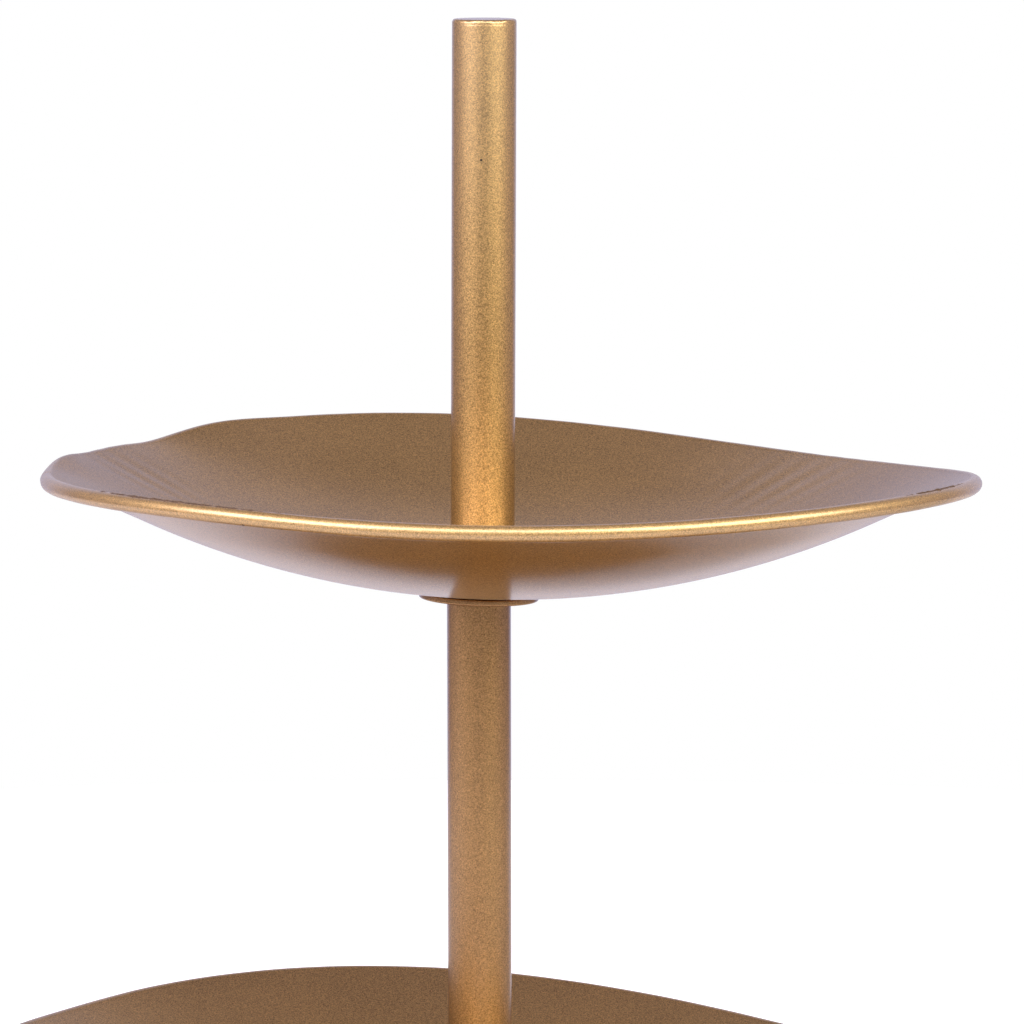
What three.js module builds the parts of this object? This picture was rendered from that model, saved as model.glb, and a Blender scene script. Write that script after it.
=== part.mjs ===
// A two-tier cake stand: two wavy-edged dishes, spun from thin steel sheet and painted gold, are
// clamped on a slim pole that stands on a low domed foot. Each dish sits on a washer on the piece
// below it and is held down by the tube above it, which screws onto a stud through the dish.
// Millimetres, +Z up. The origin is the centre of the base pad's underside, on the pole's axis.

import * as THREE from "three";

const { degToRad } = THREE.MathUtils;

// ---------------------------------------------------------------- driving dimensions

const gap = 0.3; // clearance between pieces that touch or fit into each other
const sheet = 1; // steel sheet of the dishes and the foot
const wireRadius = 2; // wire welded along the edge of each dish and of the foot

const pole = { radius: 8, wall: 1.2 };
const stud = { radius: 4, grip: 10 }; // M8, thread modelled plain; grip is its length inside a tube
const insert = { length: 12, setBack: 0.5 }; // threaded plug fixed in a tube's end
const washer = { radius: 15, bore: 4.5, thickness: 1.5 };
const nut = { acrossFlats: 13, height: 6.5 };
const cap = { plate: 1.2, edge: 0.8, spigot: 6 }; // plate on the tube's end, its rounded edge, its plug

const basePad = { inset: 3, thickness: 2 }; // inset is how far its edge lies inside the foot's
const foot = { wireLine: 65, seat: 17, shoulder: 60 }; // radii: edge wire, flat top, curve between
const tierSpacing = 165; // from the underside of one dish to the next, at the pole
const handleHeight = 143; // from the underside of the upper dish to the top of the handle

// A dish is part of a ball, with its hole at the lowest point. rim is the mean radius of its edge
// wire about the hole. The edge is trimmed by eye: reach says how far it leans to one side, and
// waves are the heights of the two-lobed and three-lobed waves along it. band is the strip along
// the edge that is bent outward, and drop is how far the edge comes down by that.
const upperDish = {
  ball: 219.6,
  rim: 115,
  reach: { x: 4.4, y: -2.4 },
  waves: { two: 2.25, three: 2.9 },
  band: 26,
  drop: 2,
  tilt: degToRad(2),
};
const lowerDish = {
  ball: 275,
  rim: 142.6,
  reach: { x: 1.3, y: -2.8 },
  waves: { two: 2.8, three: 3.6 },
  band: 32,
  drop: 2,
  tilt: degToRad(2.2),
};
const waveTurn = { two: degToRad(115), three: degToRad(57) }; // where the waves start, both dishes
const wireSeam = { turn: degToRad(187), opening: 0.4 }; // butt joint of a dish's edge wire

const facets = { round: 32, wide: 48, dish: 64, dishRings: 8, wireSteps: 72, wireSides: 8, arc: 4 };

// ---------------------------------------------------------------- materials

const goldPaint = new THREE.MeshStandardMaterial({ color: 0xb78b54, roughness: 0.42, metalness: 0.8 });
const zincPlate = new THREE.MeshStandardMaterial({ color: 0xb9bcc0, roughness: 0.35, metalness: 1 });
const feltPad = new THREE.MeshStandardMaterial({ color: 0x2f2b28, roughness: 1, metalness: 0 });

// ---------------------------------------------------------------- plain shapes

// A closed outline of [radius, height] points turned about Z. One that starts on the axis ends on
// it too.
function turned(outline, segments = facets.round) {
  const loop = outline[0][0] === 0 ? outline : [...outline, outline[0]];
  const points = loop.map(([radius, height]) => new THREE.Vector2(radius, height));
  return new THREE.LatheGeometry(points, segments).rotateX(Math.PI / 2);
}

// A ring with square corners between two radii and two heights.
function ring(inner, outer, bottom, top) {
  return turned([
    [inner, bottom],
    [outer, bottom],
    [outer, top],
    [inner, top],
  ]);
}

function rod(radius, bottom, top, segments = facets.round) {
  return new THREE.CylinderGeometry(radius, radius, top - bottom, segments)
    .rotateX(Math.PI / 2)
    .translate(0, 0, (bottom + top) / 2);
}

// Points of an arc as [radius, height]; turns are measured from +Z towards +X.
function arc([centreRadius, centreHeight], radius, from, to, steps) {
  return Array.from({ length: steps + 1 }, (_, step) => {
    const turn = from + ((to - from) * step) / steps;
    return [centreRadius + radius * Math.sin(turn), centreHeight + radius * Math.cos(turn)];
  });
}

function mesh(name, geometry, material) {
  const made = new THREE.Mesh(geometry, material);
  made.name = name;
  return made;
}

function group(...children) {
  return new THREE.Group().add(...children);
}

// ---------------------------------------------------------------- edge wire on sheet

// The wire's top is flush with the sheet's face, so its centre lies past the other face. The sheet
// stops where its near corner is one gap away from the wire.
const wireOffset = wireRadius - sheet;
const sheetSetBack = Math.sqrt((wireRadius + gap) ** 2 - wireOffset ** 2);

// ---------------------------------------------------------------- dishes

// Radius of the edge wire's centre line about the hole, at a turn counted from +X.
function rimRadius({ rim, reach, waves }, turn) {
  const lean = reach.x * Math.cos(turn) + reach.y * Math.sin(turn);
  const two = waves.two * Math.cos(2 * turn + waveTurn.two);
  const three = waves.three * Math.cos(3 * turn + waveTurn.three);
  return rim + lean + two + three;
}

// Angle at the ball's centre, from the hole to the edge wire.
function rimAngle(dish, turn) {
  return Math.asin(rimRadius(dish, turn) / (dish.ball + wireOffset));
}

// A point of the dish, depth millimetres inside its underside. angle is taken at the ball's centre.
function dishPoint(dish, turn, angle, depth) {
  const { ball, band, drop } = dish;
  const intoBand = Math.max(0, 1 - ((rimAngle(dish, turn) - angle) * ball) / band);
  const radius = (ball - depth) * Math.sin(angle);
  const height = ball - (ball - depth) * Math.cos(angle) - drop * intoBand ** 2;
  return new THREE.Vector3(radius * Math.cos(turn), radius * Math.sin(turn), height);
}

// The sheet is first turned as a flat ring between radii 1 and 2, one sheet thick. Then each point
// moves to its place on the dish: radius 1 is the edge of the hole and 2 the edge at the wire.
function dishSheet(dish) {
  const out = Array.from({ length: facets.dishRings + 1 }, (_, step) => 1 + step / facets.dishRings);
  const under = out.map((radius) => [radius, 0]);
  const over = out.toReversed().map((radius) => [radius, sheet]);
  const geometry = turned([...under, ...over], facets.dish);
  const places = geometry.getAttribute("position");
  const holeAngle = Math.asin(washer.bore / dish.ball);
  for (let i = 0; i < places.count; i++) {
    const [x, y, depth] = [places.getX(i), places.getY(i), places.getZ(i)];
    const turn = Math.atan2(y, x);
    const edgeAngle = rimAngle(dish, turn) - sheetSetBack / dish.ball;
    const angle = holeAngle + (edgeAngle - holeAngle) * (Math.hypot(x, y) - 1);
    places.setXYZ(i, ...dishPoint(dish, turn, angle, depth).toArray());
  }
  geometry.computeVertexNormals();
  return geometry;
}

// Centre line of the edge wire, once round from the joint to the joint.
class RimLine extends THREE.Curve {
  constructor(dish) {
    super();
    this.dish = dish;
  }

  getPoint(share) {
    const left = wireSeam.opening / this.dish.rim;
    const turn = wireSeam.turn + left / 2 + share * (2 * Math.PI - left);
    return dishPoint(this.dish, turn, rimAngle(this.dish, turn), -wireOffset);
  }
}

function rimWire(dish) {
  const section = new THREE.Shape(
    Array.from({ length: facets.wireSides }, (_, side) => {
      const turn = (2 * Math.PI * side) / facets.wireSides;
      return new THREE.Vector2(wireRadius * Math.cos(turn), wireRadius * Math.sin(turn));
    }),
  );
  return new THREE.ExtrudeGeometry(section, {
    steps: facets.wireSteps,
    extrudePath: new RimLine(dish),
    bevelEnabled: false,
  });
}

// A dish with its edge wire and the washer under it, all leaning together towards +X.
function tier(name, dish, underside) {
  const washerRing = ring(washer.bore, washer.radius, -gap - washer.thickness, -gap);
  const made = group(
    mesh(name + "_dish", dishSheet(dish), goldPaint),
    mesh(name + "_rim_wire", rimWire(dish), goldPaint),
    mesh(name + "_washer", washerRing, goldPaint),
  );
  made.position.z = underside;
  made.rotation.y = dish.tilt;
  return made;
}

// How far the leaning washer reaches below the dish, within a radius about the pole.
function reachBelow({ tilt }, radius) {
  return (gap + washer.thickness) * Math.cos(tilt) + radius * Math.sin(tilt);
}

// How far the leaning dish's upper face rises above its underside, within a radius about the pole.
function riseInside({ ball, tilt }, radius) {
  const across = radius + ball * Math.sin(tilt);
  return ball * Math.cos(tilt) - Math.sqrt((ball - sheet) ** 2 - across ** 2);
}

// ---------------------------------------------------------------- heights, from the table up

// The foot's curve is an arc about [seat, footTop - shoulder]; its edge wire stands on the pad.
const footWireTurn = Math.asin((foot.wireLine - foot.seat) / (foot.shoulder - wireRadius));
const footWireHeight = basePad.thickness + gap + wireRadius;
const footTop = footWireHeight + foot.shoulder - (foot.shoulder - wireRadius) * Math.cos(footWireTurn);

const lowerUnderside = footTop + gap + reachBelow(lowerDish, washer.radius);
const upperUnderside = lowerUnderside + tierSpacing;
const spacerBottom = lowerUnderside + riseInside(lowerDish, pole.radius) + gap;
const spacerTop = upperUnderside - reachBelow(upperDish, pole.radius) - gap;
const handleBottom = upperUnderside + riseInside(upperDish, pole.radius) + gap;
const handleTop = upperUnderside + handleHeight;
const handleTubeTop = handleTop - cap.plate - gap;

// ---------------------------------------------------------------- foot

function footDome() {
  const centre = [foot.seat, footTop - foot.shoulder];
  const edgeTurn = footWireTurn - sheetSetBack / foot.shoulder;
  const steps = 2 * facets.arc;
  return turned(
    [
      [washer.bore, footTop - sheet],
      ...arc(centre, foot.shoulder - sheet, 0, edgeTurn, steps),
      ...arc(centre, foot.shoulder, edgeTurn, 0, steps),
      [washer.bore, footTop],
    ],
    facets.wide,
  );
}

function footWire() {
  const ringShape = new THREE.TorusGeometry(foot.wireLine, wireRadius, facets.wireSides, facets.wide);
  return ringShape.translate(0, 0, footWireHeight);
}

const nutTop = footTop - sheet - gap;
const nutBottom = nutTop - nut.height;

function hexNut() {
  const corner = nut.acrossFlats / 2 / Math.cos(Math.PI / 6);
  const outline = new THREE.Shape(
    Array.from({ length: 6 }, (_, side) => {
      const turn = (Math.PI * side) / 3;
      return new THREE.Vector2(corner * Math.cos(turn), corner * Math.sin(turn));
    }),
  );
  outline.holes.push(new THREE.Path().absarc(0, 0, stud.radius + gap, 0, 2 * Math.PI));
  return new THREE.ExtrudeGeometry(outline, {
    depth: nut.height,
    curveSegments: facets.round / 2,
    bevelEnabled: false,
  }).translate(0, 0, nutBottom);
}

const padRadius = foot.wireLine + wireRadius - basePad.inset;

const footGroup = group(
  mesh("base_pad", rod(padRadius, 0, basePad.thickness, facets.wide), feltPad),
  mesh("foot", footDome(), goldPaint),
  mesh("foot_rim_wire", footWire(), goldPaint),
  mesh("foot_nut", hexNut(), zincPlate),
  mesh("foot_stud", rod(stud.radius, nutBottom, spacerBottom + stud.grip), zincPlate),
);

// ---------------------------------------------------------------- pole

const tubeBore = pole.radius - pole.wall;

function tubeInsert(bottom) {
  return ring(stud.radius + gap, tubeBore - gap, bottom, bottom + insert.length);
}

const spacerGroup = group(
  mesh("spacer_tube", ring(tubeBore, pole.radius, spacerBottom, spacerTop), goldPaint),
  mesh("spacer_bottom_insert", tubeInsert(spacerBottom + insert.setBack), zincPlate),
  mesh("spacer_top_insert", tubeInsert(spacerTop - insert.setBack - insert.length), zincPlate),
  mesh("upper_stud", rod(stud.radius, spacerTop - stud.grip, handleBottom + stud.grip), zincPlate),
);

// The cap's plate lies on the end of the handle's tube, flush with it, and its plug fits inside.
function handleCap() {
  const plateBottom = handleTop - cap.plate;
  const edgeCentre = [pole.radius - cap.edge, handleTop - cap.edge];
  const plugBottom = plateBottom - cap.spigot;
  const plugRadius = tubeBore - gap;
  return turned([
    [0, plugBottom],
    [plugRadius, plugBottom],
    [plugRadius, plateBottom],
    [pole.radius, plateBottom],
    ...arc(edgeCentre, cap.edge, Math.PI / 2, 0, facets.arc),
    [0, handleTop],
  ]);
}

const handleGroup = group(
  mesh("handle_tube", ring(tubeBore, pole.radius, handleBottom, handleTubeTop), goldPaint),
  mesh("handle_insert", tubeInsert(handleBottom + insert.setBack), zincPlate),
  mesh("handle_cap", handleCap(), goldPaint),
);

// ---------------------------------------------------------------- the stand

export default group(
  footGroup,
  tier("lower", lowerDish, lowerUnderside),
  spacerGroup,
  tier("upper", upperDish, upperUnderside),
  handleGroup,
);
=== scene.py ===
import math

import bpy
import numpy as np
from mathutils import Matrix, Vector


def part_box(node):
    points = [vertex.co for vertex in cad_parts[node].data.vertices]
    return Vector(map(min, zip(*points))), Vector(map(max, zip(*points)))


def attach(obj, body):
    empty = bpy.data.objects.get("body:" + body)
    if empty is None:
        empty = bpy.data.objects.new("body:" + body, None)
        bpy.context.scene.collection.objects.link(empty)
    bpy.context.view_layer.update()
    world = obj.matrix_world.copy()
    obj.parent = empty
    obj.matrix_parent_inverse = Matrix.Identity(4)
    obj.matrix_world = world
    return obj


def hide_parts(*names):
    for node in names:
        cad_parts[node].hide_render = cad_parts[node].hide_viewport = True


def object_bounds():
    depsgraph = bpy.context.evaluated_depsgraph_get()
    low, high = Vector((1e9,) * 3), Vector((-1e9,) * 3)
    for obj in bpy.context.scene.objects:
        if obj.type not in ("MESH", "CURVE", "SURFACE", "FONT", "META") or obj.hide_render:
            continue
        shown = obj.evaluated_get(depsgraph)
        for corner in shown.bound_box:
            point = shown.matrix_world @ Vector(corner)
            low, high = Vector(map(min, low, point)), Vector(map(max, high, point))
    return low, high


# A cake stand with two wavy-edged gold dishes, clamped one above the other on a slim pole. The
# sections follow the stand as it is put together, from the pad under its foot to the handle's cap.

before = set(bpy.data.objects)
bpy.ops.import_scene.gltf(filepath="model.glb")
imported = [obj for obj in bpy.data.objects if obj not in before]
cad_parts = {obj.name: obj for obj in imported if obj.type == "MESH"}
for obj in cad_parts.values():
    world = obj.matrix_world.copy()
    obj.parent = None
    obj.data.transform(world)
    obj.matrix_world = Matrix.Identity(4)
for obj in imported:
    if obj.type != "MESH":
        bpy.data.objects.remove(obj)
cad_low, cad_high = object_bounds()


# ------------------------------------------------------------------------------ base pad
# A disc of dark felt glued on card, pressed into the mouth of the foot, so that the stand doesn't
# scratch the table. Its edge is cut with a punch and a little rounded by wear.

MM = 0.001
SMOOTH_UP_TO = math.radians(40)
PAD_EDGE = 0.5 * MM
PAD_EDGE_POINTS = 5
PAD_TURNS = 128


def turned_grid(outline, turns):
    """Points of an outline turned about Z: radius times the turn's cosine and sine, and height."""
    turn = np.linspace(0, 2 * np.pi, turns, endpoint=False)
    radius = outline[:, 0, None]
    height = np.broadcast_to(outline[:, 1, None], (len(outline), turns))
    return np.stack([radius * np.cos(turn), radius * np.sin(turn), height], axis=-1)


def arc(centre, radius, first, last, count):
    """Points on a circle about centre, from one angle to another, counted from outward to up."""
    angle = np.linspace(first, last, count)
    return np.stack([centre[0] + radius * np.cos(angle), centre[1] + radius * np.sin(angle)], axis=-1)


def grid_faces(rows, columns, ring):
    """Quads between neighbouring points of a grid. Columns meet round the axis. In a ring the last
    row meets the first, and otherwise a fan of triangles closes each end on a point of its own."""
    number = np.arange(rows * columns).reshape(rows, columns)
    beside = np.roll(number, -1, axis=1)
    quads = np.stack([number, beside, np.roll(beside, -1, axis=0), np.roll(number, -1, axis=0)], axis=-1)
    if ring:
        return quads.reshape(-1, 4).tolist()
    low_point, high_point = rows * columns, rows * columns + 1
    low_fan = np.stack([beside[0], number[0], np.full(columns, low_point)], axis=-1)
    high_fan = np.stack([number[-1], beside[-1], np.full(columns, high_point)], axis=-1)
    return quads[:-1].reshape(-1, 4).tolist() + low_fan.tolist() + high_fan.tolist()


def grid_mesh(points, ring):
    """The points and faces of a grid, with the end points that close it when it is no ring."""
    rows, columns = points.shape[:2]
    flat = points.reshape(-1, 3)
    if not ring:
        flat = np.concatenate([flat, points[0].mean(axis=0)[None], points[-1].mean(axis=0)[None]])
    return flat.tolist(), grid_faces(rows, columns, ring)


def make_piece(name, points, materials, body, nodes, ring=True, beads=()):
    """A smooth mesh from a grid of points, which rides on a body in place of its nodes. Beads are
    closed grids of the second material that are part of the same piece."""
    flat, faces = grid_mesh(points, ring)
    main_faces = len(faces)
    for bead in beads:
        bead_points, bead_faces = grid_mesh(bead, False)
        faces += [[number + len(flat) for number in face] for face in bead_faces]
        flat += bead_points
    mesh = bpy.data.meshes.new(name)
    mesh.from_pydata(flat, [], faces)
    if beads:
        second = np.arange(len(faces)) >= main_faces
        mesh.polygons.foreach_set("material_index", second.astype(np.int32))
    mesh.polygons.foreach_set("use_smooth", np.ones(len(mesh.polygons), dtype=bool))
    mesh.set_sharp_from_angle(angle=SMOOTH_UP_TO)
    for material in materials:
        mesh.materials.append(material)
    piece = bpy.data.objects.new(name, mesh)
    bpy.context.scene.collection.objects.link(piece)
    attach(piece, body)
    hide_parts(*nodes)
    return piece


def add_node(tree, kind, inputs=None, **settings):
    """A node with its settings. Each input is a number, a colour or another node's output."""
    made = tree.nodes.new(kind)
    for key, value in settings.items():
        setattr(made, key, value)
    for key, value in (inputs or {}).items():
        if isinstance(value, bpy.types.NodeSocket):
            tree.links.new(value, made.inputs[key])
        else:
            made.inputs[key].default_value = value
    return made


def maths(tree, operation, *values):
    """One sum on numbers or outputs."""
    return add_node(tree, "ShaderNodeMath", dict(enumerate(values)), operation=operation).outputs[0]


def mix_colours(tree, share, first, second, how="MIX"):
    """The second colour laid over the first by its share. A Mix node's two colours are its inputs 6
    and 7, and the mixed one is its output 2."""
    inputs = {0: share, 6: first, 7: second}
    return add_node(tree, "ShaderNodeMix", inputs, data_type="RGBA", blend_type=how).outputs[2]


def smooth_step(tree, value, low, high):
    """0 below low, 1 above high, and an S-curve between them."""
    inputs = {"Value": value, "From Min": low, "From Max": high}
    return add_node(tree, "ShaderNodeMapRange", inputs, interpolation_type="SMOOTHSTEP").outputs[0]


def new_material(name):
    """An empty node material, its tree, its coordinates and its Principled shader."""
    material = bpy.data.materials.new(name)
    material.use_nodes = True
    tree = material.node_tree
    shader = tree.nodes["Principled BSDF"]
    coordinates = add_node(tree, "ShaderNodeTexCoord").outputs["Object"]
    return material, tree, coordinates, shader


def felt():
    """Matted dark wool: short fibres in every direction, and paler lint here and there."""
    dark_wool, pale_wool = (0.012, 0.010, 0.009, 1), (0.05, 0.043, 0.038, 1)
    lint_colour = (0.12, 0.11, 0.1, 1)
    material, tree, coordinates, shader = new_material("felt")
    fibre = add_node(tree, "ShaderNodeTexNoise", {"Vector": coordinates, "Scale": 2600, "Detail": 4})
    lint = add_node(tree, "ShaderNodeTexNoise", {"Vector": coordinates, "Scale": 160, "Detail": 3})
    wool = mix_colours(tree, fibre.outputs[0], dark_wool, pale_wool)
    lint_share = smooth_step(tree, lint.outputs[0], 0.55, 0.8)
    colour = mix_colours(tree, maths(tree, "MULTIPLY", lint_share, 0.4), wool, lint_colour)
    bump = add_node(tree, "ShaderNodeBump", {"Height": fibre.outputs[0], "Distance": 0.3 * MM})
    tree.links.new(colour, shader.inputs["Base Color"])
    tree.links.new(bump.outputs[0], shader.inputs["Normal"])
    shader.inputs["Roughness"].default_value = 0.95
    shader.inputs["Sheen Weight"].default_value = 0.3
    return material


pad_low, pad_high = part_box("base_pad")
pad_radius = pad_high.x
pad_flat = pad_radius - 2 * PAD_EDGE
pad_corner = pad_radius - PAD_EDGE
pad_outline = np.concatenate([
    [[pad_radius / 2, pad_low.z], [pad_flat, pad_low.z]],
    arc((pad_corner, pad_low.z + PAD_EDGE), PAD_EDGE, -np.pi / 2, 0, PAD_EDGE_POINTS),
    arc((pad_corner, pad_high.z - PAD_EDGE), PAD_EDGE, 0, np.pi / 2, PAD_EDGE_POINTS),
    [[pad_flat, pad_high.z], [pad_radius / 2, pad_high.z]],
])
make_piece(
    "felt_pad", turned_grid(pad_outline, PAD_TURNS), [felt()], "foot_base", ["base_pad"],
    ring=False,
)


# ------------------------------------------------------------------------------ foot
# A low dome spun from the same 1 mm steel sheet as the dishes, with a flat seat in the middle and a
# hole for the stud. All the steel outside is sprayed with one satin gold paint full of fine flakes.

SHEET = 1 * MM
WIRE = 2 * MM
WIRE_SIDES = 36
HOLE = 4.5 * MM
FOOT_SEAT = 17 * MM
FOOT_SHOULDER = 60 * MM
FOOT_RINGS = 48
FOOT_TURNS = 256

GOLD = (0.565, 0.348, 0.138, 1)
SPECK_COLOUR = (0.03, 0.02, 0.015, 1)
SLANT_TINT = (0.22, 0.15, 0.085, 1)
METALLIC = 0.88
PATCH_STRENGTH = 2.2
GLINT_STRENGTH = 0.7
GLINTS_TO_PATCHES = 2.1
CLOUD_SCALE = 35.0


def flake_group():
    """Flakes lie at random slants in the paint, so small patches look darker or lighter. The peel
    is the paint's own skin, dimpled like an orange, and clouds are where it went on thicker."""
    tree = bpy.data.node_groups.new("flake_paint", "ShaderNodeTree")
    for name, kind, default in (
        ("Coordinates", "NodeSocketVector", None),
        ("Paint", "NodeSocketColor", GOLD),
        ("Flake Scale", "NodeSocketFloat", 2700.0),
        ("Flake Contrast", "NodeSocketFloat", 0.4),
        ("Cloud Contrast", "NodeSocketFloat", 0.3),
    ):
        made = tree.interface.new_socket(name=name, in_out="INPUT", socket_type=kind)
        if default is not None:
            made.default_value = default
    tree.interface.new_socket(name="Colour", in_out="OUTPUT", socket_type="NodeSocketColor")
    tree.interface.new_socket(name="Peel", in_out="OUTPUT", socket_type="NodeSocketFloat")
    given = add_node(tree, "NodeGroupInput").outputs
    place, scale = given["Coordinates"], given["Flake Scale"]
    patches = add_node(tree, "ShaderNodeTexNoise", {"Vector": place, "Scale": scale, "Detail": 3.0})
    fine_scale = maths(tree, "MULTIPLY", scale, GLINTS_TO_PATCHES)
    glints = add_node(tree, "ShaderNodeTexVoronoi", {"Vector": place, "Scale": fine_scale})
    glint = add_node(tree, "ShaderNodeSeparateColor", {"Color": glints.outputs["Color"]}).outputs[0]
    clouds = add_node(tree, "ShaderNodeTexNoise", {"Vector": place, "Scale": CLOUD_SCALE, "Detail": 5.0})
    patch = maths(tree, "MULTIPLY", maths(tree, "SUBTRACT", patches.outputs[0], 0.5), PATCH_STRENGTH)
    glint = maths(tree, "MULTIPLY", maths(tree, "SUBTRACT", glint, 0.5), GLINT_STRENGTH)
    slant = maths(tree, "ADD", patch, glint)
    cloud = maths(tree, "SUBTRACT", clouds.outputs[0], 0.5)
    tone = maths(tree, "MULTIPLY_ADD", slant, given["Flake Contrast"], 1.0)
    tone = maths(tree, "MULTIPLY_ADD", cloud, given["Cloud Contrast"], tone)
    grey = add_node(tree, "ShaderNodeCombineColor", {0: tone, 1: tone, 2: tone}).outputs[0]
    colour = mix_colours(tree, 1.0, given["Paint"], grey, "MULTIPLY")
    add_node(tree, "NodeGroupOutput", {"Colour": colour, "Peel": patches.outputs[0]})
    return tree


def speck_group():
    """Pin-sized dark specks of dust caught in the paint: spots about the points of a scattered
    pattern, of which only some are kept."""
    tree = bpy.data.node_groups.new("paint_specks", "ShaderNodeTree")
    tree.interface.new_socket(name="Coordinates", in_out="INPUT", socket_type="NodeSocketVector")
    for name, default in (("Spacing Scale", 90.0), ("Speck Size", 0.035), ("Kept", 0.1)):
        made = tree.interface.new_socket(name=name, in_out="INPUT", socket_type="NodeSocketFloat")
        made.default_value = default
    tree.interface.new_socket(name="Specks", in_out="OUTPUT", socket_type="NodeSocketFloat")
    given = add_node(tree, "NodeGroupInput").outputs
    inputs = {"Vector": given["Coordinates"], "Scale": given["Spacing Scale"]}
    points = add_node(tree, "ShaderNodeTexVoronoi", inputs)
    chance = add_node(tree, "ShaderNodeSeparateColor", {"Color": points.outputs["Color"]}).outputs[0]
    near = maths(tree, "LESS_THAN", points.outputs["Distance"], given["Speck Size"])
    kept = maths(tree, "LESS_THAN", chance, given["Kept"])
    add_node(tree, "NodeGroupOutput", {"Specks": maths(tree, "MULTIPLY", near, kept)})
    return tree


FLAKES = flake_group()
SPECKS = speck_group()


def gold_paint(
    name, roughness, coat, coat_roughness, contrast=0.6, peel=0.02 * MM, coat_ior=1.5, paint=GOLD
):
    """Satin gold flake paint under a thin clear coat. The flakes lie under the coat, so they don't
    turn white at a slant as bare metal does, and the pigment between them scatters a little."""
    material, tree, coordinates, shader = new_material(name)
    flakes = add_node(tree, "ShaderNodeGroup", node_tree=FLAKES)
    tree.links.new(coordinates, flakes.inputs["Coordinates"])
    flakes.inputs["Paint"].default_value = paint
    flakes.inputs["Flake Contrast"].default_value = contrast
    specks = add_node(tree, "ShaderNodeGroup", node_tree=SPECKS)
    tree.links.new(coordinates, specks.inputs["Coordinates"])
    colour = mix_colours(tree, specks.outputs["Specks"], flakes.outputs["Colour"], SPECK_COLOUR)
    bump = add_node(tree, "ShaderNodeBump", {"Height": flakes.outputs["Peel"], "Distance": peel})
    tree.links.new(colour, shader.inputs["Base Color"])
    tree.links.new(bump.outputs[0], shader.inputs["Normal"])
    shader.inputs["Metallic"].default_value = METALLIC
    shader.inputs["Specular Tint"].default_value = SLANT_TINT
    shader.inputs["Roughness"].default_value = roughness
    shader.inputs["Coat Weight"].default_value = coat
    shader.inputs["Coat IOR"].default_value = coat_ior
    shader.inputs["Coat Roughness"].default_value = coat_roughness
    return material


foot_paint = gold_paint("gold_paint_sheet", roughness=0.45, coat=1.0, coat_roughness=0.15)

foot_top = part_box("foot")[1].z
foot_wire_low, foot_wire_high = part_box("foot_rim_wire")
foot_wire_height = (foot_wire_low.z + foot_wire_high.z) / 2
foot_wire_line = foot_wire_high.x - WIRE
foot_curve = (FOOT_SEAT, foot_top - FOOT_SHOULDER)
foot_turn = math.acos((foot_wire_line - FOOT_SEAT) / (FOOT_SHOULDER - WIRE))
foot_outline = np.concatenate([
    [[HOLE, foot_top - SHEET]],
    arc(foot_curve, FOOT_SHOULDER - SHEET, np.pi / 2, foot_turn, FOOT_RINGS),
    arc(foot_curve, FOOT_SHOULDER, foot_turn, np.pi / 2, FOOT_RINGS),
    [[HOLE, foot_top]],
])
make_piece(
    "foot_dome", turned_grid(foot_outline, FOOT_TURNS), [foot_paint], "foot_base", ["foot"]
)

foot_wire_outline = arc((foot_wire_line, foot_wire_height), WIRE, 0, 2 * np.pi, WIRE_SIDES + 1)[:-1]
make_piece(
    "foot_edge_wire", turned_grid(foot_wire_outline, FOOT_TURNS), [foot_paint], "foot_base",
    ["foot_rim_wire"],
)


# ------------------------------------------------------------------------------ studs, nut and plugs
# Standard M8 hardware, zinc-plated: a nut welded under the foot, a stud through each dish, and
# threaded plugs fixed in the ends of the tubes. All of it is hidden once the stand is put together.


def zinc_plate():
    """Bright zinc plate: a pale grey metal with faint blue and straw patches and drawing lines."""
    blue, straw = (0.52, 0.54, 0.6, 1), (0.62, 0.6, 0.54, 1)
    material, tree, coordinates, shader = new_material("zinc_plate")
    patches = add_node(tree, "ShaderNodeTexNoise", {"Vector": coordinates, "Scale": 260, "Detail": 3})
    colour = mix_colours(tree, patches.outputs[0], blue, straw)
    stretched = add_node(tree, "ShaderNodeMapping", {"Vector": coordinates, "Scale": (1, 1, 0.04)})
    lines = add_node(tree, "ShaderNodeTexNoise", {"Vector": stretched.outputs[0], "Scale": 3000})
    bump = add_node(tree, "ShaderNodeBump", {"Height": lines.outputs[0], "Distance": 0.01 * MM})
    limits = {"Value": patches.outputs[0], "To Min": 0.25, "To Max": 0.4}
    rough = add_node(tree, "ShaderNodeMapRange", limits)
    tree.links.new(colour, shader.inputs["Base Color"])
    tree.links.new(rough.outputs[0], shader.inputs["Roughness"])
    tree.links.new(bump.outputs[0], shader.inputs["Normal"])
    shader.inputs["Metallic"].default_value = 1.0
    return material


zinc = zinc_plate()
for node in (
    "foot_nut", "foot_stud", "upper_stud", "spacer_bottom_insert", "spacer_top_insert", "handle_insert",
):
    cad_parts[node].material_slots[0].material = zinc


# ------------------------------------------------------------------------------ lower dish
# A dish spun from 1 mm sheet over a ball-shaped former, trimmed by eye to a wavy edge and bent out
# a little along it. A 4 mm wire is welded along the edge, filled at its joint and painted over.

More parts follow.
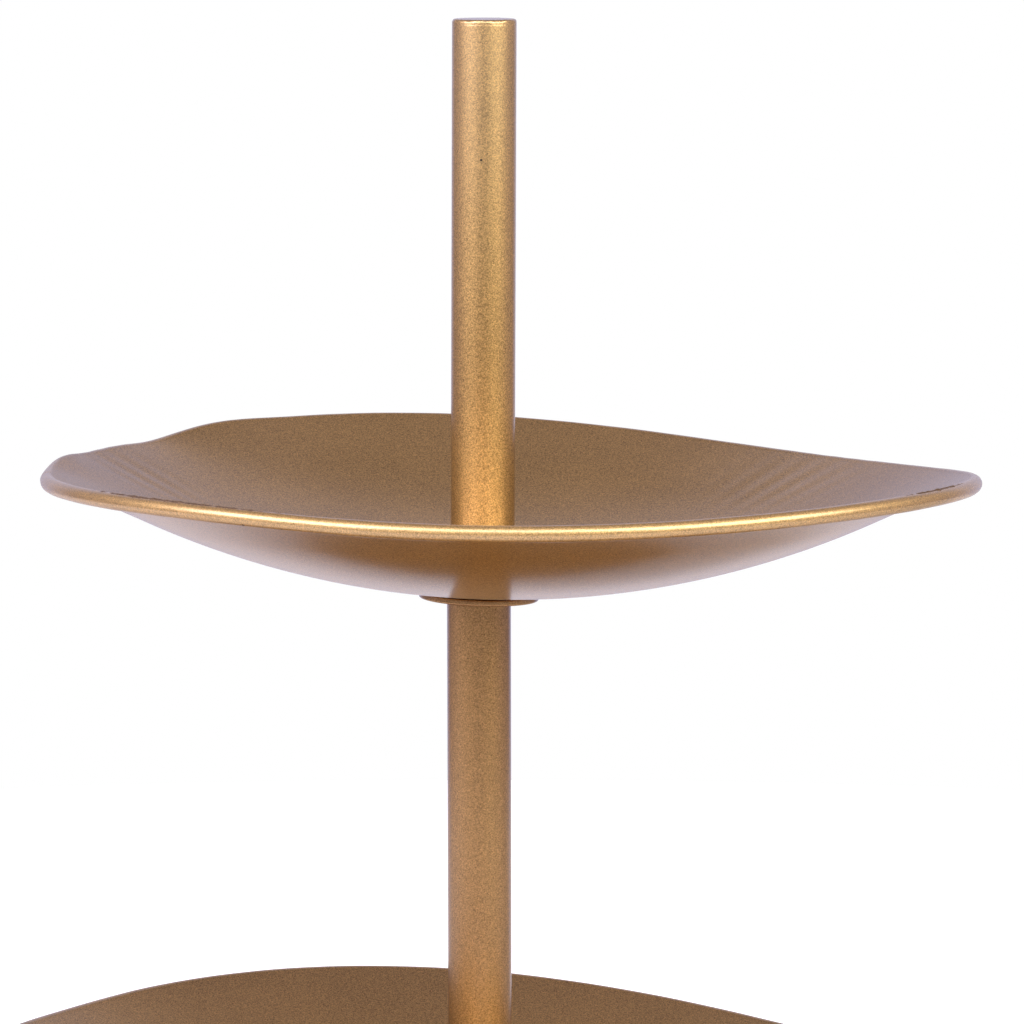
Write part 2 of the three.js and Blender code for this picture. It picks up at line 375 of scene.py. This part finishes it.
# ball and rim are the former's radius and the edge's mean radius. reach is how far the edge lies
# off centre along X and Y, and waves are its two-lobed and three-lobed waves. In the outer band the
# sheet is bent down by the drop: a mean and its change along X and Y. tilt is the dish's lean on
# the pole. Dents and puckers give their turn and width in degrees and their depth, and the stretches
# of dark weld run from one turn to another: partly the rough weld and partly painted shade of the
# crevice between the sheet and the wire.
LOWER_DISH = {
    "ball": 275 * MM,
    "rim": 142.4 * MM,
    "reach": (1 * MM, -2.75 * MM),
    "waves": (2.7 * MM, 3.45 * MM),
    "band": 32 * MM,
    "drop": (2.25 * MM, 0.4 * MM, -0.35 * MM),
    "tilt": math.radians(2.2),
    "dents": ((141, 10, 0.4 * MM), (160, 10, -0.3 * MM)),
    "puckers": ((35, 10, 0.06 * MM),),
    "weld_shade_runs": ((206, 248), (312, 336)),
}
WAVE_TURNS = (math.radians(109), math.radians(63))
GAP = 0.3 * MM
DISH_TURNS = 420
DISH_RINGS = 68
PUCKER_TURN = 4.4
PUCKER_INWARD = 16 * MM
PUCKER_LENGTH = 14 * MM

# The underside and the inner face end this far inside the wire's line. From there a skin of filler
# and paint runs over the wire: how far outside its line each ring lies, in millimetres, how thick
# the skin is, and how deep its outermost ring dives.
UNDER_EDGE = 0.6 * MM
INNER_EDGE = 1.6 * MM
SKIN_RINGS = (1.15, 1.1, 0.8, 0.4, 0, -0.4, -0.9)
WIRE_SKIN = 0.05 * MM
SKIN_DIVE = 0.15 * MM

# The wire's line lies this far outside the underside. Its butt joint is a narrow groove across a
# low mound of filler, each with its share of the wire's radius and its width in millimetres.
WIRE_OFFSET = WIRE - SHEET
WIRE_TURNS = 480
WIRE_GROUND = 0.014
SEAM_TURN = math.radians(187)
SEAM_REACH = 0.02
SEAM_POINTS = 41
SEAM_GROOVE = (0.09, 0.25)
SEAM_FILLER = (0.04, 1.2)

WELD_RADIUS = 0.8 * MM
WELD_OUTWARD = 0.85 * MM
WELD_DEPTH = 0.25 * MM
WELD_STEP = 0.15
WELD_SIDES = 12
WELD_THINNEST = 0.1

WASHER = 15 * MM
WASHER_THICKNESS = 1.5 * MM
WASHER_CORNER = 0.35 * MM
WASHER_CORNER_POINTS = 5
WASHER_ASIDE = 0.4 * MM
WASHER_TURNS = 128

# The weld's dark colour is partly the rough weld's own and partly painted shade of the crevice between
# the sheet and the wire.
WELD_SHADE_COLOUR = (0.22, 0.14, 0.095, 1)
# The washers' darker gold is painted shade: each washer sits in the shade under its dish.
WASHER_SHADE_GOLD = (0.42, 0.235, 0.09, 1)


def bell(aside, width):
    """A bell curve: 1 in the middle, and e to the minus square of the widths aside."""
    return np.exp(-((aside / width) ** 2))


def waver(turn, *waves):
    """A sum of sine waves, each with its size, its count in a full turn and its start."""
    return sum(size * np.sin(count * turn + start) for size, count, start in waves)


def rim_radius(dish, turn):
    """Mean radius, a lean to one side, and waves of two and three lobes round the edge."""
    lean = dish["reach"][0] * np.cos(turn) + dish["reach"][1] * np.sin(turn)
    two = dish["waves"][0] * np.cos(2 * turn + WAVE_TURNS[0])
    three = dish["waves"][1] * np.cos(3 * turn + WAVE_TURNS[1])
    return dish["rim"] + lean + two + three


def rim_angle(dish, turn):
    """Angle at the ball's centre from the hole to the edge wire."""
    return np.arcsin(rim_radius(dish, turn) / (dish["ball"] + WIRE_OFFSET))


def rim_drop(dish, turn):
    """How far the edge is bent down: a mean, a little more on one side than on the other, and dents,
    each a bell curve of the turn."""
    mean, along_x, along_y = dish["drop"]
    drop = mean + along_x * np.cos(turn) + along_y * np.sin(turn)
    for middle, width, depth in dish["dents"]:
        aside = (np.degrees(turn) - middle + 180) % 360 - 180
        drop = drop + depth * bell(aside, width)
    return drop


def pucker(dish, turn, angle):
    """Faint puckers that the spinning tool left in the sheet: radial waves PUCKER_TURN degrees
    apart in a few places, which fade out at both sides, towards the middle and at the edge."""
    inward = (rim_angle(dish, turn) - angle) * dish["ball"]
    height = 0
    for middle, width, size in dish["puckers"]:
        aside = np.degrees(turn) - middle
        height = height + size * np.cos(2 * np.pi * aside / PUCKER_TURN) * bell(aside, width)
    return height * bell(inward - PUCKER_INWARD, PUCKER_LENGTH)


def leaned(dish, x, y, height):
    """Points leaned about Y by the dish's tilt and lifted to its height on the pole."""
    lean_cos, lean_sin = math.cos(dish["tilt"]), math.sin(dish["tilt"])
    outward = x * lean_cos + height * lean_sin
    upward = dish["base"] + height * lean_cos - x * lean_sin
    return np.stack([outward, y, upward], axis=-1)


def dish_point(dish, turn, angle, depth):
    """A point on the ball, depth inside its underside, less the drop times the square of the way
    into the bent band, and with its pucker."""
    ball = dish["ball"]
    into_band = np.maximum(0, 1 - (rim_angle(dish, turn) - angle) * ball / dish["band"])
    radius = (ball - depth) * np.sin(angle)
    height = ball - (ball - depth) * np.cos(angle) - rim_drop(dish, turn) * into_band**2
    height = height + pucker(dish, turn, angle)
    return leaned(dish, radius * np.cos(turn), radius * np.sin(turn), height)


def base_height(dish, washer):
    """Height of the dish's underside at the pole, from the low edge of the leaning washer."""
    reach = (GAP + WASHER_THICKNESS) * math.cos(dish["tilt"]) + WASHER * math.sin(dish["tilt"])
    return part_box(washer)[0].z + reach


def dish_sheet(dish):
    """Underside from the hole to the edge and inner face back again, as one closed ring. The inner
    face runs on over the wire to its crown as a thin skin of filler and paint, up to a ragged edge,
    where it dives under the wire's surface. Columns stand closer where the sheet is puckered."""
    even = np.arange(DISH_TURNS) * 360 / DISH_TURNS
    closer = [
        np.arange(middle - 2 * width, middle + 2 * width, PUCKER_TURN / 6)
        for middle, width, size in dish["puckers"]
    ]
    turn = np.radians(np.unique(np.concatenate([even, *closer]).round(3)))[None]
    hole = math.asin(HOLE / dish["ball"])
    share = np.linspace(0, 1, DISH_RINGS)[:, None]
    edge = rim_angle(dish, turn)
    under = hole + (edge - UNDER_EDGE / dish["ball"] - hole) * share
    ragged = waver(turn, (0.06, 47, 0), (0.072, 89, 1), (0.06, 131, 2))
    outside = np.array(SKIN_RINGS)[:, None] - ragged
    skin = edge + outside * MM / dish["ball"]
    inner = np.concatenate([skin, (hole + (edge - INNER_EDGE / dish["ball"] - hole) * share)[::-1]])
    skin_depth = np.sqrt((WIRE + WIRE_SKIN) ** 2 - (outside * MM) ** 2) - WIRE_OFFSET
    inner_depth = np.full_like(inner, SHEET)
    inner_depth[:len(skin)] = np.where(outside > 0, skin_depth, np.maximum(skin_depth, SHEET))
    inner_depth[0] -= SKIN_DIVE
    angle = np.concatenate([under, inner])
    depth = np.concatenate([np.zeros_like(under), inner_depth])
    return dish_point(dish, np.broadcast_to(turn, angle.shape), angle, depth)


def square_to(along):
    """The level and the upright direction square to a line, from the directions along it."""
    along = along / np.linalg.norm(along, axis=1)[:, None]
    outward = np.cross(along, [0.0, 0.0, 1.0])
    outward /= np.linalg.norm(outward, axis=1)[:, None]
    return outward, np.cross(outward, along)


def edge_wire(dish):
    """A round section carried along the wavy edge, a little uneven from grinding. At the joint the
    radius grows by a bell curve of filler and shrinks by a narrower one, the groove."""
    even = np.linspace(0, 2 * np.pi, WIRE_TURNS, endpoint=False)
    joint = SEAM_TURN + np.linspace(-SEAM_REACH, SEAM_REACH, SEAM_POINTS)
    apart = np.abs(even - SEAM_TURN) > 1.05 * SEAM_REACH
    turn = np.sort(np.concatenate([even[apart], joint]))
    line = dish_point(dish, turn, rim_angle(dish, turn), -WIRE_OFFSET)
    outward, upward = square_to(np.roll(line, -1, axis=0) - np.roll(line, 1, axis=0))
    from_joint = (turn - SEAM_TURN) * dish["rim"] / MM
    groove = SEAM_GROOVE[0] * bell(from_joint, SEAM_GROOVE[1])
    filler = SEAM_FILLER[0] * bell(from_joint, SEAM_FILLER[1])
    uneven = waver(turn, (0.008, 17, 0), (0.006, 41, 2))
    radius = WIRE * (1 - WIRE_GROUND + uneven - (groove - filler))
    side = np.linspace(0, 2 * np.pi, WIRE_SIDES, endpoint=False)[:, None, None]
    around = np.cos(side) * outward + np.sin(side) * upward
    return line + around * radius[:, None]


def weld_and_shade_bead(dish, first, last):
    """A rough stretch of the weld, from one turn to another in degrees: a lumpy little bead, half
    sunk in the wire just outside its crown, which thins out towards both ends. Its dark paint is
    partly the rough weld's own and partly painted shade of the crevice between sheet and wire."""
    turn = np.radians(np.arange(first, last, WELD_STEP))
    share = (turn - turn[0]) / (turn[-1] - turn[0])
    lumps = waver(turn, (0.06, 97, 0), (0.06, 173, 1), (0.05, 311, 2))
    thinner = np.sqrt(np.maximum(np.sin(np.pi * share), WELD_THINNEST**2))
    radius = WELD_RADIUS * (1 + lumps) * thinner
    line = dish_point(dish, turn, rim_angle(dish, turn) + WELD_OUTWARD / dish["ball"], WELD_DEPTH)
    outward, upward = square_to(np.gradient(line, axis=0))
    side = np.linspace(0, 2 * np.pi, WELD_SIDES, endpoint=False)[:, None]
    around = np.cos(side) * outward[:, None] - np.sin(side) * upward[:, None]
    return line[:, None] + around * radius[:, None, None]


def washer_ring(dish):
    """A stamped washer under the dish, leaning with it and a little off centre: a flat ring with
    softly rounded corners."""
    corner, count = WASHER_CORNER, WASHER_CORNER_POINTS
    bottom, top = -GAP - WASHER_THICKNESS, -GAP
    flat, side = WASHER - 1.5 * corner, 1.3 * corner
    outline = np.concatenate([
        [[flat, bottom]],
        arc((WASHER - corner, bottom + corner), corner, -np.pi / 2, 0, count),
        [[WASHER, bottom + side], [WASHER, top - side]],
        arc((WASHER - corner, top - corner), corner, 0, np.pi / 2, count),
        [[flat, top], [HOLE, top], [HOLE, bottom]],
    ])
    x, y, height = np.moveaxis(turned_grid(outline, WASHER_TURNS), -1, 0)
    return leaned(dish, x - WASHER_ASIDE, y, height)


wire_paint = gold_paint(
    "gold_paint_wire", roughness=0.5, coat=1.0, coat_roughness=0.26, contrast=0.7, coat_ior=1.8
)
# Dark weld paint: partly the rough weld, partly painted shade of the crevice between sheet and wire.
weld_shade_paint = gold_paint(
    "gold_paint_weld_shade", roughness=0.7, coat=0.15, coat_roughness=0.4, contrast=0.8, paint=WELD_SHADE_COLOUR
)
inside_paint = gold_paint(
    "gold_paint_inside", roughness=0.38, coat=0.8, coat_roughness=0.25, contrast=0.85, peel=0.03 * MM
)
under_paint = gold_paint(
    "gold_paint_under", roughness=0.45, coat=0.85, coat_roughness=0.18, contrast=0.8
)
# The washer's darker gold is painted shade under its dish.
washer_paint = gold_paint(
    "gold_paint_washer", roughness=0.3, coat=1.0, coat_roughness=0.15, paint=WASHER_SHADE_GOLD
)


def make_tier(name, dish):
    """The dish, its edge wire and its washer."""
    body = name + "_tier"
    dish["base"] = base_height(dish, name + "_washer")
    points = dish_sheet(dish)
    sheet = make_piece(
        name + "_dish_sheet", points, [under_paint, inside_paint], body, [name + "_dish"]
    )
    rows, columns = points.shape[:2]
    inside = np.repeat(np.arange(rows) >= DISH_RINGS, columns)
    sheet.data.polygons.foreach_set("material_index", inside.astype(np.int32))
    make_piece(
        name + "_edge_wire", edge_wire(dish), [wire_paint, weld_shade_paint], body,
        [name + "_rim_wire"], beads=[weld_and_shade_bead(dish, first, last) for first, last in dish["weld_shade_runs"]],
    )
    make_piece(
        name + "_seat_washer", washer_ring(dish), [washer_paint], body, [name + "_washer"]
    )


make_tier("lower", LOWER_DISH)


# ------------------------------------------------------------------------------ spacer
# The pole between the dishes: a length of 16 mm steel tube, cut square and broken at its edges. It
# stands a little out of line, as the handle does. Its gold is painted darker than the handle's, as
# painted shade of the dishes above and below it.

TUBE_WALL = 1.2 * MM
TUBE_EDGE = 0.25 * MM
TUBE_EDGE_POINTS = 4
TUBE_RINGS = 12
TUBE_TURNS = 160
SPACER_ASIDE = -0.15 * MM
SPACER_SLOPE = -0.0016
# The spacer's darker gold is painted shade: the dishes above and below shade the spacer.
SPACER_SHADE_GOLD = (0.44, 0.25, 0.094, 1)


def lean_over(points, aside, slope):
    """Points set a little aside along X, and further by the slope times their height."""
    points[..., 0] += aside + slope * (points[..., 2] - points[..., 2].min())
    return points


def tube(node, aside, slope, top_edge=TUBE_EDGE, longer=0):
    """Outer wall up, rounded end, bore down and rounded end, a little out of line and of square.
    Rings close to each end keep the shading of the long walls true."""
    low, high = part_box(node)
    bottom, top = low.z, high.z + longer
    outer, inner = high.x, high.x - TUBE_WALL
    edge, count = TUBE_EDGE, TUBE_EDGE_POINTS
    long_wall = np.linspace(bottom + MM, top - MM, TUBE_RINGS)
    heights = np.concatenate([[bottom + 2 * TUBE_EDGE], long_wall, [top - 2 * TUBE_EDGE]])
    outline = np.concatenate([
        arc((outer - edge, bottom + edge), edge, -np.pi / 2, 0, count),
        np.stack([np.full_like(heights, outer), heights], axis=-1),
        arc((outer - top_edge, top - top_edge), top_edge, 0, np.pi / 2, count),
        arc((inner + top_edge, top - top_edge), top_edge, np.pi / 2, np.pi, count),
        np.stack([np.full_like(heights, inner), heights[::-1]], axis=-1),
        arc((inner + edge, bottom + edge), edge, np.pi, 1.5 * np.pi, count),
    ])
    return lean_over(turned_grid(outline, TUBE_TURNS), aside, slope)


# The spacer gets its darker gold, as painted shade between the dishes.
spacer_paint = gold_paint(
    "gold_paint_tube", roughness=0.42, coat=1.0, coat_roughness=0.2, contrast=0.8, peel=0.03 * MM,
    paint=SPACER_SHADE_GOLD,
)
spacer_wall = tube("spacer_tube", SPACER_ASIDE, SPACER_SLOPE)
make_piece("spacer_pole", spacer_wall, [spacer_paint], "spacer", ["spacer_tube"])


# ------------------------------------------------------------------------------ upper dish
# The same dish, smaller, on its own washer on top of the spacer. Its edge has had more knocks.

UPPER_DISH = {
    "ball": 219.6 * MM,
    "rim": 114.85 * MM,
    "reach": (4.95 * MM, -2.5 * MM),
    "waves": (2.25 * MM, 2.7 * MM),
    "band": 26 * MM,
    "drop": (2.1 * MM, 0.4 * MM, -0.55 * MM),
    "tilt": math.radians(2),
    "dents": (
        (143, 7, 1.0 * MM),
        (128, 8, -0.8 * MM),
        (171, 8, -1.3 * MM),
        (352, 12, -0.3 * MM),
        (238, 18, -0.42 * MM),
    ),
    "puckers": ((36, 10, 0.085 * MM), (158, 7, 0.1 * MM)),
    "weld_shade_runs": ((206, 254), (318, 344)),
}
make_tier("upper", UPPER_DISH)


# ------------------------------------------------------------------------------ handle
# A second length of the tube, screwed down on the upper dish. A plate is fixed on its end and
# ground round at the edge by hand, so the edge is a little uneven.

HANDLE_ASIDE = 0.5 * MM
HANDLE_SLOPE = 0.0037
SQUARE_END = 0.01 * MM
# The handle's paler top is a painted sheen: its colour turns paler towards the top of the tube.
TOP_SHEEN = (0.75, 0.62, 0.5, 1)
TOP_SHEEN_SHARE = 0.12
TOP_SHEEN_FROM = 75 * MM
TOP_SHEEN_FULLY = 5 * MM
CAP_EDGE = 0.8 * MM
CAP_EDGE_POINTS = 9
CAP_PLATE = 1.2 * MM


def cap_grid():
    """Flat plate with a rounded edge over a plain plug. The rounding wavers in and out, and up and
    down, round the plate, as a hand-held grinder leaves it."""
    low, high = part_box("handle_cap")
    outer, top, plug = high.x, high.z, high.x - TUBE_WALL - GAP
    below_edge = [
        [plug / 2, low.z], [plug, low.z], [plug, top - CAP_PLATE], [outer, top - CAP_PLATE],
        [outer, top - CAP_PLATE + 0.1 * MM],
    ]
    outline = np.concatenate([
        below_edge,
        arc((outer - CAP_EDGE, top - CAP_EDGE), CAP_EDGE, 0, np.pi / 2, CAP_EDGE_POINTS),
        [[outer - 1.3 * CAP_EDGE, top], [outer / 2, top]],
    ])
    points = turned_grid(outline, TUBE_TURNS)
    rounding = points[len(below_edge):len(below_edge) + CAP_EDGE_POINTS]
    turn = np.linspace(0, 2 * np.pi, TUBE_TURNS, endpoint=False)
    share = np.linspace(0, 1, CAP_EDGE_POINTS)[:, None]
    ground = waver(turn, (0.1, 7, 1), (0.07, 13, 0), (0.05, 23, 2)) * (share * (1 - share))
    rounding[..., :2] *= (1 + 0.06 * ground)[..., None]
    rounding[..., 2] += 1.4 * MM * ground
    from_tube = low.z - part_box("handle_tube")[0].z
    return lean_over(points, HANDLE_ASIDE + HANDLE_SLOPE * from_tube, HANDLE_SLOPE)


def handle_paint():
    """The tube's paint, a little paler towards the top: a painted sheen for the whiter gloss there."""
    material = gold_paint(
        "gold_paint_handle", roughness=0.42, coat=1.0, coat_roughness=0.2, contrast=0.85, peel=0.03 * MM
    )
    tree = material.node_tree
    shader = tree.nodes["Principled BSDF"]
    painted = shader.inputs["Base Color"].links[0].from_socket
    coordinates = add_node(tree, "ShaderNodeTexCoord").outputs["Object"]
    height = add_node(tree, "ShaderNodeSeparateXYZ", {0: coordinates}).outputs["Z"]
    top_sheen = smooth_step(tree, height, cad_high.z - TOP_SHEEN_FROM, cad_high.z - TOP_SHEEN_FULLY)
    colour = mix_colours(tree, maths(tree, "MULTIPLY", top_sheen, TOP_SHEEN_SHARE), painted, TOP_SHEEN)
    tree.links.new(colour, shader.inputs["Base Color"])
    return material


sheen_handle_paint = handle_paint()
handle_wall = tube("handle_tube", HANDLE_ASIDE, HANDLE_SLOPE, top_edge=SQUARE_END, longer=GAP)
make_piece("handle_pole", handle_wall, [sheen_handle_paint], "handle", ["handle_tube"])
make_piece(
    "handle_end_cap", cap_grid(), [sheen_handle_paint], "handle", ["handle_cap"], ring=False
)


# ------------------------------------------------------------------------------ studio
# A pale round floor, three soft lamps in front at the left, at the right and overhead, and a dim
# room. The floor and the room are white to the camera, and in the gloss there is a white backdrop.

WHITE = (1, 1, 1, 1)
FLOOR_RADIUS = 0.9
FLOOR_TURNS = 96
FLOOR_PAINT = (0.72, 0.69, 0.73, 1)
FLOOR_WHITE = 0.8
FLOOR_WHITE_FROM = (0.1, 0.5)
FLOOR_TINT = (0.87, 0.85, 1.0, 1)
FLOOR_GLOW = 0.54
# The pool is a painted shadow of the stand: within it the floor's glow in the gloss fades out.
SHADOW_POOL = (0.32, -0.52, 0)
SHADOW_POOL_EDGE = (0.82, 1.02)

ROOM_TINT = (1.0, 0.86, 1.08, 1)
OVERHEAD_TINT = (0.52, 0.42, 0.58, 1)
BACKDROP_TINT = (0.7, 0.72, 1.0, 1)
FRONT_GREY = 0.15
SIDE_GREY = 0.38
FRONT_TO_SIDE = (-0.8, 0.2)
OVERHEAD_EDGE = (0.55, 0.8)
BACKDROP_EDGE = (0.66, 0.84)

LAMP_DISTANCE = 1.25

CAMERA_LENS = 210.94
CAMERA_SENSOR = 36
CAMERA_ASIDE = 0.007875
CAMERA_AWAY = 1.4888
CAMERA_ABOVE_DISH = 0.2028
CAMERA_DOWN = 7


def studio_floor():
    """A flat pale disc. The camera sees it white but for the stand's soft shadow round the foot. In
    the gloss it glows white with a cool tint, but for a dark pool centred in front of the stand and
    reaching under it: a painted shadow of the stand."""
    turn = np.linspace(0, 2 * np.pi, FLOOR_TURNS, endpoint=False)
    height = np.full(FLOOR_TURNS, -0.1 * MM)
    edge = np.stack([FLOOR_RADIUS * np.cos(turn), FLOOR_RADIUS * np.sin(turn), height], axis=-1)
    mesh = bpy.data.meshes.new("studio_floor")
    mesh.from_pydata(edge.tolist(), [], [list(range(FLOOR_TURNS))])
    material, tree, coordinates, shader = new_material("floor_white")
    shader.inputs["Base Color"].default_value = FLOOR_PAINT
    shader.inputs["Roughness"].default_value = 0.9
    path = add_node(tree, "ShaderNodeLightPath").outputs
    in_gloss = maths(tree, "MAXIMUM", path["Is Glossy Ray"], path["Is Transmission Ray"])
    away = add_node(tree, "ShaderNodeVectorMath", {0: coordinates, 1: SHADOW_POOL}, operation="DISTANCE")
    glow = maths(tree, "MULTIPLY", smooth_step(tree, away.outputs["Value"], *SHADOW_POOL_EDGE), FLOOR_GLOW)
    from_stand = add_node(tree, "ShaderNodeVectorMath", {0: coordinates}, operation="LENGTH")
    clear = smooth_step(tree, from_stand.outputs["Value"], *FLOOR_WHITE_FROM)
    shown = maths(tree, "MULTIPLY", path["Is Camera Ray"], maths(tree, "MULTIPLY", clear, FLOOR_WHITE))
    tint = mix_colours(tree, path["Is Camera Ray"], FLOOR_TINT, WHITE)
    tree.links.new(tint, shader.inputs["Emission Color"])
    strength = maths(tree, "MULTIPLY_ADD", in_gloss, glow, shown)
    tree.links.new(strength, shader.inputs["Emission Strength"])
    mesh.materials.append(material)
    floor = bpy.data.objects.new("studio_floor", mesh)
    bpy.context.scene.collection.objects.link(floor)


def studio_room():
    """White all round for the camera, and a wide white backdrop behind the stand for its gloss.
    The rest of the room is dim grey, darkest in front and overhead."""
    world = bpy.data.worlds.new("studio_room")
    bpy.context.scene.world = world
    world.use_nodes = True
    tree = world.node_tree
    background = tree.nodes["Background"]
    direction = add_node(tree, "ShaderNodeTexCoord").outputs["Generated"]
    parts = add_node(tree, "ShaderNodeSeparateXYZ", {0: direction}).outputs
    front_to_side = smooth_step(tree, parts["Y"], *FRONT_TO_SIDE)
    limits = {"Value": front_to_side, "To Min": FRONT_GREY, "To Max": SIDE_GREY}
    grey = add_node(tree, "ShaderNodeMapRange", limits)
    overhead = smooth_step(tree, parts["Z"], *OVERHEAD_EDGE)
    dim = mix_colours(tree, overhead, ROOM_TINT, OVERHEAD_TINT)
    dim = mix_colours(tree, 1.0, dim, grey.outputs[0], "MULTIPLY")
    path = add_node(tree, "ShaderNodeLightPath").outputs
    backdrop = smooth_step(tree, parts["Y"], *BACKDROP_EDGE)
    in_gloss = maths(tree, "MAXIMUM", path["Is Glossy Ray"], path["Is Transmission Ray"])
    colour = mix_colours(tree, maths(tree, "MULTIPLY", backdrop, in_gloss), dim, BACKDROP_TINT)
    colour = mix_colours(tree, path["Is Camera Ray"], colour, WHITE)
    tree.links.new(colour, background.inputs["Color"])
    background.inputs["Strength"].default_value = 1.0


def softbox(name, azimuth, elevation, width, height, radiance, tint):
    """A soft lamp that faces the stand, its place given in degrees from the front and from level.
    Its power is its radiance times pi and its area."""
    turn, rise = math.radians(azimuth), math.radians(elevation)
    away = np.array([math.sin(turn) * math.cos(rise), -math.cos(turn) * math.cos(rise), math.sin(rise)])
    data = bpy.data.lights.new(name, "AREA")
    data.shape = "RECTANGLE"
    data.size, data.size_y = width, height
    data.energy = radiance * math.pi * width * height
    data.color = tint
    lamp = bpy.data.objects.new(name, data)
    lamp.location = np.array([0, 0, cad_high.z]) + away * LAMP_DISTANCE
    lamp.rotation_euler = (math.pi / 2 - rise, 0, turn)
    lamp.visible_camera = False
    bpy.context.scene.collection.objects.link(lamp)


def camera():
    """A long lens, a little above the upper dish and looking seven degrees down on it."""
    data = bpy.data.cameras.new("camera")
    data.lens, data.sensor_width = CAMERA_LENS, CAMERA_SENSOR
    made = bpy.data.objects.new("camera", data)
    made.location = (CAMERA_ASIDE, -CAMERA_AWAY, UPPER_DISH["base"] + CAMERA_ABOVE_DISH)
    made.rotation_euler = (math.radians(90 - CAMERA_DOWN), 0, 0)
    bpy.context.scene.collection.objects.link(made)
    bpy.context.scene.camera = made


studio_floor()
studio_room()
softbox("softbox_left", -53, 24, width=1.16, height=0.7, radiance=6.1, tint=(1, 0.98, 1.0))
softbox("softbox_right", 53, 24, width=1.16, height=0.7, radiance=5.9, tint=(1, 1.0, 0.82))
softbox("softbox_front", 0, 40, width=1.33, height=0.65, radiance=4.4, tint=(0.97, 1.0, 0.95))
camera()
bpy.context.scene.view_settings.view_transform = "Standard"
